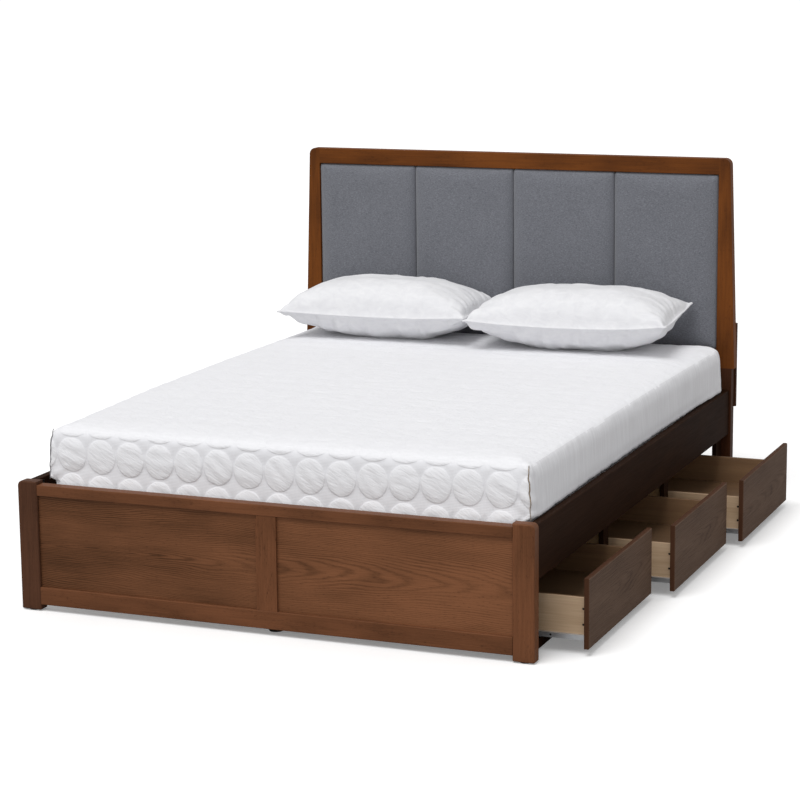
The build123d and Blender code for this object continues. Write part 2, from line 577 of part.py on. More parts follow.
PILLOW_SIZE = (715.0, 410.0, 230.0)
PILLOW_R = 95.0
PILLOWS = (("pillow_left", (-395.0, 822.0), 1.0), ("pillow_right", (332.0, 797.0), 3.0))
for name, (x, y), turn in PILLOWS:
    with BuildPart() as pillow:
        with Locations(Location((x, y, mattress_top + 0.5 + PILLOW_SIZE[2] / 2), (0, 0, turn))):
            Box(*PILLOW_SIZE)
        fillet(pillow.edges(), radius=PILLOW_R)
    finish(pillow, name)
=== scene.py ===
import bpy
import math
import numpy as np
from mathutils import Matrix, Vector


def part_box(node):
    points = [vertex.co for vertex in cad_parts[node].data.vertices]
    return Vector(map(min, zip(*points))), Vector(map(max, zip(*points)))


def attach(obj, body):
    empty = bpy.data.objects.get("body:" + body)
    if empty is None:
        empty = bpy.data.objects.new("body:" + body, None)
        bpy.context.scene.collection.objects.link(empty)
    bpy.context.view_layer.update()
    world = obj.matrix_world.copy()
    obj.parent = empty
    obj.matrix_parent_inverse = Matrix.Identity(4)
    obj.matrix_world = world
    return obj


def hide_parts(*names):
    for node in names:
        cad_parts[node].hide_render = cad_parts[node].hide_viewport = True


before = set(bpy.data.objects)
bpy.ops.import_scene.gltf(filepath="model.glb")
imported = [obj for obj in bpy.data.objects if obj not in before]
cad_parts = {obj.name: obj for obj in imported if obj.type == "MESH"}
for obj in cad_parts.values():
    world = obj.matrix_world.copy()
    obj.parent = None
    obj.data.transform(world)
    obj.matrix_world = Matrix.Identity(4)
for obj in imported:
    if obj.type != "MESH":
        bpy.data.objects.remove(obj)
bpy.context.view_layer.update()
scene = bpy.context.scene
MM = 0.001


# ---------------------------------------------------------------- small tools
def hexa(code):
    """An sRGB hex colour as linear RGBA."""
    parts = [int(code[i:i + 2], 16) / 255 for i in (1, 3, 5)]
    return [c / 12.92 if c <= 0.04045 else ((c + 0.055) / 1.055) ** 2.4 for c in parts] + [1.0]


def add(tree, kind, inputs=None, ramp=None, **settings):
    """One node with its settings, its values and links, and its colour ramp."""
    made = tree.nodes.new(kind)
    for key, value in settings.items():
        setattr(made, key, value)
    for key, value in (inputs or {}).items():
        if isinstance(value, bpy.types.NodeSocket):
            tree.links.new(value, made.inputs[key])
        else:
            made.inputs[key].default_value = value
    if ramp:
        stops = made.color_ramp.elements
        while len(stops) < len(ramp):
            stops.new(0.5)
        for stop, (place, colour) in zip(stops, ramp):
            stop.position = place
            stop.color = hexa(colour) if isinstance(colour, str) else [colour, colour, colour, 1]
    return made


def new_material(name):
    """An empty material, its tree and its shader."""
    made = bpy.data.materials.new(name)
    made.use_nodes = True
    made.node_tree.nodes.clear()
    shader = add(made.node_tree, "ShaderNodeBsdfPrincipled")
    add(made.node_tree, "ShaderNodeOutputMaterial", {"Surface": shader.outputs[0]})
    return made, made.node_tree, shader


def maths(tree, operation, first, second=0.0, third=0.0):
    """One sum on numbers; MULTIPLY_ADD is first times second plus third."""
    return add(tree, "ShaderNodeMath", {0: first, 1: second, 2: third}, operation=operation).outputs[0]


def noise(tree, vector, scale, detail=2.0, rough=0.5, distortion=0.0):
    values = {"Vector": vector, "Scale": scale, "Detail": detail,
              "Roughness": rough, "Distortion": distortion}
    return add(tree, "ShaderNodeTexNoise", values).outputs["Fac"]


def stretched(tree, vector, scale, place=(0, 0, 0)):
    """The place with each axis scaled: a large scale makes a pattern short along that axis."""
    values = {"Vector": vector, "Scale": scale, "Location": place}
    return add(tree, "ShaderNodeMapping", values).outputs[0]


def ramp_of(tree, value, stops):
    """A number turned to a colour, or to another number, between the stops."""
    return add(tree, "ShaderNodeValToRGB", {0: value}, ramp=stops).outputs[0]


def mixed(tree, share, first, second):
    """Two colours mixed; share is how much of the second shows."""
    values = {0: share, 6: first, 7: second}
    return add(tree, "ShaderNodeMix", values, data_type="RGBA").outputs[2]


def bumped(tree, shader, height, distance, strength):
    """Fine relief on a shader; distance is the height of one unit, in metres."""
    made = add(tree, "ShaderNodeBump", {"Height": height, "Distance": distance, "Strength": strength})
    tree.links.new(made.outputs[0], shader.inputs["Normal"])


def paint(piece, material):
    """Put one material on every face of a CAD node or a new piece."""
    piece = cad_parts[piece] if isinstance(piece, str) else piece
    if not piece.data.materials:
        piece.data.materials.append(material)
    for slot in range(len(piece.data.materials)):
        piece.data.materials[slot] = material


# ---------------------------------------------------------------- woods
def stained_veneer(name, node, lie, light, dark, pore, ring, tilt, depth, offset, figure,
                   rough=0.5, gleam=0.12, mottle=0.7, lean=0.0, edge=None):
    """Stained ash veneer under satin lacquer: arched growth rings, fine fibres, dark open pores.
    The eye sees long dark arches on a warm brown, a soft broken shine and short pore dashes.
    lie names the axes along and across the grain. The board is cut depth and offset (metres) from
    the heart of the tree and tilted, ring is the year rings' spacing in millimetres, figure how dark
    they are, mottle how cloudy the stain is, lean how fast it deepens towards one end, and edge the
    colour of the banded edges."""
    made, tree, shader = new_material(name)
    low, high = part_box(node)
    centre = [(a + b) / 2 for a, b in zip(low, high)]
    place = add(tree, "ShaderNodeTexCoord").outputs["Object"]
    values = {"Vector": place, "Location": centre}
    apart = add(tree, "ShaderNodeMapping", values, vector_type="TEXTURE").outputs[0]
    xyz = add(tree, "ShaderNodeSeparateXYZ", {0: apart}).outputs
    along = xyz["XYZ".index(lie[0])]
    across = xyz["XYZ".index(lie[1])]
    deep = xyz["XYZ".index(({"X", "Y", "Z"} - set(lie)).pop())]
    wood = add(tree, "ShaderNodeCombineXYZ", {0: along, 1: across, 2: deep}).outputs[0]

    sway = noise(tree, stretched(tree, wood, (1.6, 5.0, 5.0), (offset * 9, 0, 0)), 1.0, 2.0)
    waver = noise(tree, stretched(tree, wood, (9.0, 60.0, 60.0)), 1.0, 3.0)
    side = maths(tree, "MULTIPLY_ADD", sway, 0.10, offset - 0.05)
    side = maths(tree, "ADD", side, across)
    back = maths(tree, "MULTIPLY_ADD", along, tilt, depth)
    back = maths(tree, "ADD", back, deep)
    wobble = maths(tree, "MULTIPLY", waver, ring * MM * 1.3)
    radius = maths(tree, "SQRT", maths(tree, "ADD", maths(tree, "MULTIPLY", side, side),
                                       maths(tree, "MULTIPLY", back, back)))
    turns = maths(tree, "MULTIPLY", maths(tree, "ADD", radius, wobble), 2 * math.pi / (ring * MM))
    rings = maths(tree, "POWER", maths(tree, "MULTIPLY_ADD", maths(tree, "SINE", turns), 0.5, 0.5), 2.2)
    # fibres about 1 mm wide, pore dashes about 12 mm long
    fibres = noise(tree, stretched(tree, wood, (7.0, 420.0, 420.0)), 1.0, 3.0, 0.6)
    pores = noise(tree, stretched(tree, wood, (70.0, 900.0, 900.0)), 1.0, 1.0)
    blotch = noise(tree, stretched(tree, wood, (3.0, 9.0, 9.0), (0, 3, 1)), 1.0, 3.0)

    strength = ramp_of(tree, noise(tree, stretched(tree, wood, (2.2, 7.0, 7.0), (2, 0, 5)), 1.0, 2.0),
                       [(0.35, 0.25), (0.65, 1.0)])
    shade = maths(tree, "MULTIPLY", maths(tree, "MULTIPLY", rings, strength), figure)
    shade = maths(tree, "MULTIPLY_ADD", fibres, 0.8, shade)
    shade = maths(tree, "MULTIPLY_ADD", blotch, mottle, shade)
    shade = maths(tree, "SUBTRACT", shade, 0.15 + mottle / 2)
    shade = maths(tree, "MULTIPLY_ADD", along, lean, shade)
    colour = ramp_of(tree, shade, [(0.0, light), (0.95, dark)])
    open_pore = ramp_of(tree, pores, [(0.60, 0.0), (0.72, 1.0)])
    pore_share = maths(tree, "MULTIPLY", open_pore, maths(tree, "MULTIPLY_ADD", rings, 0.5, 0.25))
    colour = mixed(tree, pore_share, colour, hexa(pore))
    if edge:
        facing = add(tree, "ShaderNodeNewGeometry").outputs["Normal"]
        facing = add(tree, "ShaderNodeSeparateXYZ", {0: facing}).outputs[0]
        turned = ramp_of(tree, maths(tree, "ABSOLUTE", facing), [(0.45, 1.0), (0.85, 0.0)])
        colour = mixed(tree, maths(tree, "MULTIPLY", turned, 0.85), colour, hexa(edge))
    tree.links.new(colour, shader.inputs["Base Color"])
    gloss = maths(tree, "MULTIPLY_ADD", fibres, 0.18, rough - 0.09)
    tree.links.new(gloss, shader.inputs["Roughness"])
    shader.inputs["Specular IOR Level"].default_value = gleam
    relief = maths(tree, "MULTIPLY_ADD", open_pore, -0.6, maths(tree, "MULTIPLY", rings, -0.4))
    bumped(tree, shader, relief, 0.00025, 0.5)
    return made


def drawer_board(name, middle_y):
    """Foil-faced board with an oak print. Faces that do not look out of the drawer are painted darker, as
    painted shade inside the drawer box,
    and faces that point up are darker again: painted shade on the drawer bottoms, brown edge banding on the
    top edges.
    The eye sees fine level streaks, matt and even."""
    made, tree, shader = new_material(name)
    place = add(tree, "ShaderNodeTexCoord").outputs["Object"]
    streaks = noise(tree, stretched(tree, place, (9.0, 260.0, 320.0)), 1.0, 3.0, 0.6)
    broad = noise(tree, stretched(tree, place, (3.0, 20.0, 34.0)), 1.0, 2.0)
    share = maths(tree, "MULTIPLY_ADD", broad, 0.5, maths(tree, "MULTIPLY", streaks, 0.5))
    outside = ramp_of(tree, share, [(0.30, "#c2a78a"), (0.70, "#a88d6f")])
    # painted shade: the inside faces are the same board as the outside, painted darker for the shade inside
    # the drawer box
    inside = ramp_of(tree, share, [(0.30, "#987757"), (0.70, "#7e6147")])
    normal = add(tree, "ShaderNodeNewGeometry").outputs["Normal"]
    facing = add(tree, "ShaderNodeSeparateXYZ", {0: normal}).outputs
    across = add(tree, "ShaderNodeSeparateXYZ", {0: place}).outputs[1]
    outward = maths(tree, "MULTIPLY", maths(tree, "SUBTRACT", across, middle_y), facing[1])
    outer = maths(tree, "GREATER_THAN", outward, 0.1)
    # painted shade on the drawer bottoms, which face up; on the top edges this darkening stands for brown
    # edge banding
    upward = ramp_of(tree, facing[2], [(0.5, 0.0), (0.9, 0.55)])
    inside = mixed(tree, upward, inside, hexa("#46321f"))
    tree.links.new(mixed(tree, outer, inside, outside), shader.inputs["Base Color"])
    shader.inputs["Roughness"].default_value = 0.55
    shader.inputs["Specular IOR Level"].default_value = 0.3
    bumped(tree, shader, streaks, 0.0002, 0.3)
    return made


def planed_pine(name):
    """Planed softwood, unfinished: straight pale streaks, dry and matt."""
    made, tree, shader = new_material(name)
    place = add(tree, "ShaderNodeTexCoord").outputs["Object"]
    slow = noise(tree, stretched(tree, place, (26.0, 26.0, 40.0)), 1.0, 3.0, 0.6, 0.4)
    fine = noise(tree, stretched(tree, place, (300.0, 300.0, 300.0)), 1.0, 2.0)
    share = maths(tree, "MULTIPLY_ADD", slow, 0.8, maths(tree, "MULTIPLY", fine, 0.2))
    tree.links.new(ramp_of(tree, share, [(0.3, "#c9ab80"), (0.55, "#b8966a"), (0.75, "#9c7a50")]),
                   shader.inputs["Base Color"])
    shader.inputs["Roughness"].default_value = 0.62
    bumped(tree, shader, share, 0.0003, 0.4)
    return made


# ---------------------------------------------------------------- metals and plastics
def rolled_zinc(name):
    """Zinc-plated rolled steel: light grey metal with faint rolling lines along the slide."""
    made, tree, shader = new_material(name)
    place = add(tree, "ShaderNodeTexCoord").outputs["Object"]
    lines = noise(tree, stretched(tree, place, (6.0, 700.0, 700.0)), 1.0, 2.0)
    cloud = noise(tree, place, 60.0, 3.0)
    share = maths(tree, "MULTIPLY_ADD", lines, 0.5, maths(tree, "MULTIPLY", cloud, 0.5))
    colour = ramp_of(tree, share, [(0.3, "#c8cbcf"), (0.7, "#e0e2e4")])
    tree.links.new(colour, shader.inputs["Base Color"])
    tree.links.new(maths(tree, "MULTIPLY_ADD", share, 0.2, 0.25), shader.inputs["Roughness"])
    shader.inputs["Metallic"].default_value = 0.8
    bumped(tree, shader, lines, 0.0001, 0.3)
    return made


def black_oxide(name):
    """Black oxide on steel screws and brackets: near black, slightly oily, with a fine grain."""
    made, tree, shader = new_material(name)
    place = add(tree, "ShaderNodeTexCoord").outputs["Object"]
    grain = noise(tree, place, 900.0, 3.0)
    tree.links.new(ramp_of(tree, grain, [(0.3, "#1c1a19"), (0.7, "#302d2b")]), shader.inputs["Base Color"])
    tree.links.new(maths(tree, "MULTIPLY_ADD", grain, 0.2, 0.35), shader.inputs["Roughness"])
    shader.inputs["Metallic"].default_value = 0.7
    bumped(tree, shader, grain, 0.0001, 0.3)
    return made


def moulded_nylon(name, light, dark):
    """Moulded nylon: even, waxy, with a fine spark-eroded grain."""
    made, tree, shader = new_material(name)
    place = add(tree, "ShaderNodeTexCoord").outputs["Object"]
    grain = noise(tree, place, 1500.0, 2.0)
    tree.links.new(ramp_of(tree, grain, [(0.2, dark), (0.8, light)]), shader.inputs["Base Color"])
    shader.inputs["Roughness"].default_value = 0.42
    shader.inputs["Subsurface Weight"].default_value = 0.05
    bumped(tree, shader, grain, 0.00008, 0.4)
    return made


# ---------------------------------------------------------------- cloths
def heathered_cloth(name):
    """Plain-woven melange upholstery: light and dark grey yarns, slightly fuzzy.
    Yarns are 1.2 mm apart; the flecks are drawn 3 to 8 mm long so that they show."""
    made, tree, shader = new_material(name)
    place = add(tree, "ShaderNodeTexCoord").outputs["Object"]
    level = noise(tree, stretched(tree, place, (150.0, 620.0, 620.0)), 1.0, 2.0, 0.6)
    upright = noise(tree, stretched(tree, place, (520.0, 520.0, 200.0)), 1.0, 2.0, 0.6)
    cloud = noise(tree, place, 9.0, 3.0)
    xyz = add(tree, "ShaderNodeSeparateXYZ", {0: place}).outputs
    yarn = 2 * math.pi / (2.4 * MM)
    warp = maths(tree, "SINE", maths(tree, "MULTIPLY", xyz[0], yarn))
    weft = maths(tree, "SINE", maths(tree, "MULTIPLY", xyz[2], yarn))
    weave = maths(tree, "MULTIPLY", warp, weft)
    share = maths(tree, "MULTIPLY_ADD", level, 0.65, maths(tree, "MULTIPLY", upright, 0.35))
    share = maths(tree, "MULTIPLY_ADD", cloud, 0.06, share)
    share = maths(tree, "MULTIPLY_ADD", weave, 0.03, share)
    tree.links.new(ramp_of(tree, share, [(0.34, "#575960"), (0.54, "#707279"), (0.74, "#888a91")]),
                   shader.inputs["Base Color"])
    shader.inputs["Roughness"].default_value = 0.92
    shader.inputs["Sheen Weight"].default_value = 0.35
    shader.inputs["Sheen Roughness"].default_value = 0.5
    height = maths(tree, "MULTIPLY_ADD", weave, 0.4, share)
    bumped(tree, shader, height, 0.0008, 0.5)
    return made


QUILT_ACROSS = 98 * MM  # spacing of the rings across the bed
QUILT_DOWN = 110 * MM  # and down the bed
QUILT_RADIUS = 48.5 * MM  # half a ring's width
QUILT_SQUASH = 0.9  # a ring's width over its length
DIAMOND_STITCH = 6 * MM


def quilted_cotton(name):
    """Brushed white cotton, quilted in rings: soft creased domes on a ground stitched in small diamonds.
    The map holds the cloth's own lengths in metres, so the rings follow it over the edge.
    On top the cloth is pulled flat, and the eye sees only short level crinkles."""
    made, tree, shader = new_material(name)
    cloth = add(tree, "ShaderNodeUVMap", uv_map="cloth").outputs[0]
    cell = add(tree, "ShaderNodeVectorMath",
               {0: cloth, 1: (1 / QUILT_ACROSS, 1 / QUILT_DOWN, 1)}, operation="MULTIPLY").outputs[0]
    cell = add(tree, "ShaderNodeVectorMath", {0: cell, 1: (0.5, 0.5, 0)}, operation="ADD").outputs[0]
    cell = add(tree, "ShaderNodeVectorMath", {0: cell}, operation="FRACTION").outputs[0]
    cell = add(tree, "ShaderNodeVectorMath", {0: cell, 1: (0.5, 0.5, 0)}, operation="SUBTRACT").outputs[0]
    cell = add(tree, "ShaderNodeVectorMath",
               {0: cell, 1: (QUILT_ACROSS, QUILT_DOWN * QUILT_SQUASH, 0)}, operation="MULTIPLY").outputs[0]
    reach = add(tree, "ShaderNodeVectorMath", {0: cell}, operation="LENGTH").outputs["Value"]
    wander = noise(tree, cloth, 45.0, 2.0)
    wander = maths(tree, "MULTIPLY_ADD", wander, 0.1, -0.05)
    reach = maths(tree, "MULTIPLY_ADD", reach, 1 / QUILT_RADIUS, wander)
    dome = maths(tree, "MAXIMUM", maths(tree, "SUBTRACT", 1.0, maths(tree, "MULTIPLY", reach, reach)), 0.0)
    dome = maths(tree, "SQRT", dome)
    inside = ramp_of(tree, reach, [(0.93, 1.0), (1.0, 0.0)])
    # creases run down to the right inside the rings
    slanted = add(tree, "ShaderNodeMapping", {"Vector": cloth, "Rotation": (0, 0, 0.5)}).outputs[0]
    crease = noise(tree, stretched(tree, slanted, (26.0, 120.0, 1.0)), 1.0, 2.0, 0.5, 0.8)
    crinkle = noise(tree, stretched(tree, cloth, (45.0, 150.0, 1.0)), 1.0, 3.0, 0.6, 1.0)
    diamond = add(tree, "ShaderNodeMapping", {"Vector": cloth, "Rotation": (0, 0, math.pi / 4)}).outputs[0]
    diamond = add(tree, "ShaderNodeSeparateXYZ", {0: diamond}).outputs
    stitch = 2 * math.pi / DIAMOND_STITCH
    ground = maths(tree, "MULTIPLY", maths(tree, "SINE", maths(tree, "MULTIPLY", diamond[0], stitch)),
                   maths(tree, "SINE", maths(tree, "MULTIPLY", diamond[1], stitch)))
    outside = maths(tree, "SUBTRACT", 1.0, inside)
    hanging = maths(tree, "MULTIPLY_ADD", crease, 1.3, dome)
    hanging = maths(tree, "MULTIPLY", hanging, inside)
    hanging = maths(tree, "MULTIPLY_ADD", maths(tree, "MULTIPLY", ground, outside), 0.12, hanging)
    facing = add(tree, "ShaderNodeNewGeometry").outputs["Normal"]
    upward = add(tree, "ShaderNodeSeparateXYZ", {0: facing}).outputs[2]
    flat = ramp_of(tree, upward, [(0.35, 0.0), (0.85, 1.0)])
    hung = maths(tree, "MULTIPLY_ADD", flat, -0.75, 1.0)
    height = maths(tree, "MULTIPLY", hanging, hung)
    height = maths(tree, "MULTIPLY_ADD", crinkle, maths(tree, "MULTIPLY_ADD", flat, 3.4, 0.2), height)
    # painted shade: the stitched-down ground between the rings is painted greyer, less on the flat top
    shade = maths(tree, "MULTIPLY", maths(tree, "MULTIPLY", outside, hung), 0.22)
    tree.links.new(mixed(tree, shade, hexa("#f2f2f5"), hexa("#dedee4")), shader.inputs["Base Color"])
    shader.inputs["Roughness"].default_value = 0.85
    shader.inputs["Sheen Weight"].default_value = 0.2
    shader.inputs["Sheen Roughness"].default_value = 0.4
    bumped(tree, shader, height, 0.0035, 0.42)
    return made


def gathered_knit(name):
    """Stretch knit skirt, gathered by elastic: thin upright puckers, greyer than the quilt."""
    made, tree, shader = new_material(name)
    cloth = add(tree, "ShaderNodeUVMap", uv_map="cloth").outputs[0]
    pucker = noise(tree, stretched(tree, cloth, (120.0, 5.0, 1.0)), 1.0, 3.0, 0.6, 0.3)
    thin = noise(tree, stretched(tree, cloth, (420.0, 9.0, 1.0)), 1.0, 2.0)
    share = maths(tree, "MULTIPLY_ADD", pucker, 0.7, maths(tree, "MULTIPLY", thin, 0.3))
    # painted shade: the knit is painted darker in the hollows of the puckers
    colour = ramp_of(tree, share, [(0.30, "#dcdbde"), (0.65, "#e9e9ec")])
    tree.links.new(colour, shader.inputs["Base Color"])
    shader.inputs["Roughness"].default_value = 0.9
    shader.inputs["Sheen Weight"].default_value = 0.2
    bumped(tree, shader, share, 0.0025, 0.5)
    return made


def pillow_cotton(name):
    """Percale cotton over polyester fill: smooth bright white with very fine thread."""
    made, tree, shader = new_material(name)
    place = add(tree, "ShaderNodeTexCoord").outputs["Object"]
    thread = noise(tree, place, 900.0, 2.0)
    crease = noise(tree, stretched(tree, place, (24.0, 24.0, 40.0)), 1.0, 3.0, 0.5, 1.0)
    # painted shade: the cotton is painted darker in the hollows of the creases
    tree.links.new(ramp_of(tree, crease, [(0.3, "#e0e0e3"), (0.7, "#e8e8ea")]), shader.inputs["Base Color"])
    shader.inputs["Roughness"].default_value = 0.8
    shader.inputs["Sheen Weight"].default_value = 0.3
    shader.inputs["Sheen Roughness"].default_value = 0.4
    height = maths(tree, "MULTIPLY_ADD", thread, 0.05, crease)
    bumped(tree, shader, height, 0.005, 0.4)
    return made


def spun_thread(name, light, dark):
    """Spun sewing thread or binding tape: short slanted strands."""
    made, tree, shader = new_material(name)
    place = add(tree, "ShaderNodeTexCoord").outputs["Object"]
    strands = noise(tree, stretched(tree, place, (300.0, 300.0, 150.0)), 1.0, 2.0)
    tree.links.new(ramp_of(tree, strands, [(0.35, dark), (0.65, light)]), shader.inputs["Base Color"])
    shader.inputs["Roughness"].default_value = 0.85
    bumped(tree, shader, strands, 0.001, 0.6)
    return made


# ---------------------------------------------------------------- modelling tools
def deselect():
    """Nothing selected, so that the next operator acts on its own piece alone."""
    for piece in bpy.context.selected_objects:
        piece.select_set(False)


def make_only(piece):
    """Select one piece alone and make it active."""
    deselect()
    piece.select_set(True)
    bpy.context.view_layer.objects.active = piece


def apply_modifier(piece, kind, **settings):
    """Add a modifier, set it and apply it."""
    make_only(piece)
    step = piece.modifiers.new("step", kind)
    for key, value in settings.items():
        setattr(step, key, value)
    bpy.ops.object.modifier_apply(modifier=step.name)


def block(name, low, high):
    """A box-shaped start for a piece, its place in its mesh."""
    deselect()
    middle = [(a + b) / 2 for a, b in zip(low, high)]
    bpy.ops.mesh.primitive_cube_add(size=1, location=middle)
    piece = bpy.context.active_object
    piece.name = name
    piece.data.name = name
    piece.scale = [b - a for a, b in zip(low, high)]
    bpy.ops.object.transform_apply(location=True, rotation=True, scale=True)
    return piece


def bevel_where(piece, test, radius, segments):
    """Round the edges whose two ends pass the test."""
    make_only(piece)
    bpy.ops.object.mode_set(mode="EDIT")
    bpy.ops.mesh.select_mode(type="EDGE")
    bpy.ops.mesh.select_all(action="DESELECT")
    bpy.ops.object.mode_set(mode="OBJECT")
    for line in piece.data.edges:
        first, second = (piece.data.vertices[i].co for i in line.vertices)
        line.select = test(first, second)
    bpy.ops.object.mode_set(mode="EDIT")
    bpy.ops.mesh.bevel(offset=radius, segments=segments, affect="EDGES")
    bpy.ops.object.mode_set(mode="OBJECT")


def points_of(piece):
    """A mesh's points as rows of x, y and z."""
    points = np.empty(len(piece.data.vertices) * 3)
    piece.data.vertices.foreach_get("co", points)
    return points.reshape(-1, 3)


def normals_of(piece):
    """The way a mesh faces at each of its points."""
    normals = np.empty(len(piece.data.vertices) * 3)
    piece.data.vertex_normals.foreach_get("vector", normals)
    return normals.reshape(-1, 3)


def set_points(piece, points):
    """Put a mesh's points at these rows of x, y and z."""
    piece.data.vertices.foreach_set("co", points.ravel())
    piece.data.update()


def puff(piece, pressure, cap, frames, pinned=None, stiff=15.0):
    """Blow the piece up as sewn cloth, with no point moving further than cap."""
    start = points_of(piece)
    make_only(piece)
    step = piece.modifiers.new("cloth", "CLOTH")
    cloth = step.settings
    cloth.quality = 5
    cloth.mass = 0.3
    cloth.tension_stiffness = stiff
    cloth.compression_stiffness = stiff
    cloth.shear_stiffness = stiff / 3
    cloth.bending_stiffness = 0.5
    cloth.use_pressure = True
    cloth.uniform_pressure_force = pressure
    cloth.effector_weights.gravity = 0.0
    if pinned is not None:
        group = piece.vertex_groups.new(name="pinned")
        group.add([int(i) for i in np.nonzero(pinned)[0]], 1.0, "REPLACE")
        cloth.vertex_group_mass = "pinned"
    step.point_cache.frame_start = 1
    step.point_cache.frame_end = frames
    for number in range(1, frames + 1):
        scene.frame_set(number)
    bpy.ops.object.modifier_apply(modifier=step.name)
    scene.frame_set(1)
    if pinned is not None:
        piece.vertex_groups.remove(piece.vertex_groups["pinned"])
    moved = points_of(piece) - start
    length = np.linalg.norm(moved, axis=1, keepdims=True)
    set_points(piece, start + moved * np.minimum(1, cap / np.maximum(length, 1e-9)))


def smooth(piece):
    make_only(piece)
    bpy.ops.object.shade_smooth()


def copied(piece, name, shift):
    """A copy of a piece with its own mesh, moved in its mesh."""
    twin = piece.copy()
    twin.data = piece.data.copy()
    twin.name = name
    twin.data.name = name
    bpy.context.collection.objects.link(twin)
    twin.data.transform(Matrix.Translation(shift))
    return twin


def tube(name, path, radius, closed=False, uneven=0.0):
    """A thin round strand along a path, as a mesh; uneven is how much thinner it gets between stitches."""
    deselect()
    bpy.ops.curve.primitive_nurbs_path_add(location=(0, 0, 0))
    line = bpy.context.active_object
    line.name = name
    spline = line.data.splines[0]
    spline.points.add(len(path) - len(spline.points))
    for point, place in zip(spline.points, path):
        point.co = (*place, 1)
        point.radius = 1 - uneven / 2 + uneven * math.sin(place[2] * 310) ** 2
    spline.use_cyclic_u = closed
    spline.use_endpoint_u = not closed
    spline.order_u = 3
    spline.resolution_u = 2
    line.data.bevel_depth = radius
    line.data.bevel_resolution = 2
    line.data.use_fill_caps = not closed
    bpy.ops.object.convert(target="MESH")
    line = bpy.context.active_object
    line.data.name = name
    smooth(line)
    return line


def hashed(cells, seed):
    """An even random number from 0 to 1 for each pair of whole numbers."""
    mixed_up = np.sin(cells[:, 0] * 127.1 + cells[:, 1] * 311.7 + seed * 74.7) * 43758.5453
    return mixed_up - np.floor(mixed_up)


def soft_noise(u, v, seed):
    """Smooth random waves about one unit long, from -1 to 1."""
    iu, iv = np.floor(u), np.floor(v)
    fu, fv = u - iu, v - iv
    fu, fv = fu * fu * (3 - 2 * fu), fv * fv * (3 - 2 * fv)
    corners = [hashed(np.stack([iu + a, iv + b], 1), seed) for a, b in ((0, 0), (1, 0), (0, 1), (1, 1))]
    low = corners[0] * (1 - fu) + corners[1] * fu
    high = corners[2] * (1 - fu) + corners[3] * fu
    return (low * (1 - fv) + high * fv) * 2 - 1


NEAR = 1e-5  # places closer than this count as the same


# ---------------------------------------------------------------- headboard pads
def headboard_pads():
    """Foam pads under woven cloth, pulled tight round a thin board: crowned, with rolled edges."""
    cloth = heathered_cloth("heathered_grey_upholstery")
    low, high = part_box("head_pad_1")
    shy = 2.5 * MM  # room at each side for the foam to swell
    crown = 6 * MM  # room in front
    start_low = (low[0] + shy, low[1] + crown, low[2] + shy)
    start_high = (high[0] - shy, high[1], high[2] - shy)
    pad = block("headboard_pad_1", start_low, start_high)

    def on_front(a, b):
        return max(a.y, b.y) < start_low[1] + NEAR

    def at_corner(a, b):
        return abs(a.y - b.y) > 5 * MM and abs(a.x - b.x) + abs(a.z - b.z) < NEAR

    bevel_where(pad, on_front, 18 * MM, 5)
    bevel_where(pad, at_corner, 8 * MM, 3)
    apply_modifier(pad, "REMESH", mode="VOXEL", voxel_size=5 * MM)
    points = points_of(pad)
    puff(pad, 1.1, 14 * MM, 16, pinned=points[:, 1] > start_high[1] - 8 * MM)  # the board behind
    apply_modifier(pad, "SMOOTH", iterations=7, factor=0.5)
    apply_modifier(pad, "SUBSURF", levels=1, render_levels=1)
    points = points_of(pad)
    grow = 1.2 * MM  # the cloth of neighbouring pads touches
    for axis, (least, most) in {0: (low[0] - grow, high[0] + grow), 1: (low[1] - 1 * MM, high[1]),
                                2: (low[2] - grow, high[2] + grow)}.items():
        first, last = points[:, axis].min(), points[:, axis].max()
        points[:, axis] = least + (points[:, axis] - first) * (most - least) / (last - first)
    set_points(pad, points)
    pads = [pad]
    for number in (2, 3, 4):
        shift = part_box(f"head_pad_{number}")[0][0] - low[0]
        pads.append(copied(pad, f"headboard_pad_{number}", (shift, 0, 0)))
    for number, piece in enumerate(pads, 1):
        smooth(piece)
        paint(piece, cloth)
        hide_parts(f"head_pad_{number}")
        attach(piece, "frame")


# ---------------------------------------------------------------- mattress
RING_PUFF = 2.6 * MM
GROOVE_DEPTH = 1.6 * MM
GROOVE_WIDTH = 4.5 * MM
CREASE_STEP = 6 * MM
CREASE_HEIGHT = 1.3 * MM
QUILT_SHIFT = 15 * MM  # the rings' middle row stands this far from the bed's middle
TOP_BEND = 28 * MM  # the cloth's bend over the edge of the top
# the cover's width at places down the bed, as shares of its full width
LEFT_Y = [-1.034, -0.88, -0.33, 0.24, 0.80]
LEFT_SHARE = [0.948, 0.955, 0.992, 1.0, 0.985]
RIGHT_Y = [0.3, 0.9]
RIGHT_SHARE = [1.0, 1.012]


def ring_height(across, down, full):
    """Height of the quilting: puffed rings, a groove round each, creases inside each.
    Where the cloth is pulled flat on top, full is small and the rings nearly vanish."""
    cu, cv = across / QUILT_ACROSS, down / QUILT_DOWN
    iu, iv = np.floor(cu + 0.5), np.floor(cv + 0.5)
    du, dv = (cu - iu) * QUILT_ACROSS, (cv - iv) * QUILT_DOWN * QUILT_SQUASH
    reach = np.hypot(du, dv)
    cells = np.stack([iu, iv], 1)
    dome = np.sqrt(np.clip(1 - (reach / QUILT_RADIUS) ** 2, 0, 1))
    puffed = RING_PUFF * (0.6 + 0.8 * hashed(cells, 3)) * dome
    groove = -GROOVE_DEPTH * np.exp(-(((reach - QUILT_RADIUS - 1.5 * MM) / GROOVE_WIDTH) ** 2))
    slant = (hashed(cells, 5) - 0.5) * 0.9 + 1.0
    fold = np.sin((du * np.cos(slant) + dv * np.sin(slant)) / CREASE_STEP + 6 * hashed(cells, 8))
    creased = CREASE_HEIGHT * fold * dome * (0.3 + hashed(cells, 13))
    return (puffed + groove + creased) * full


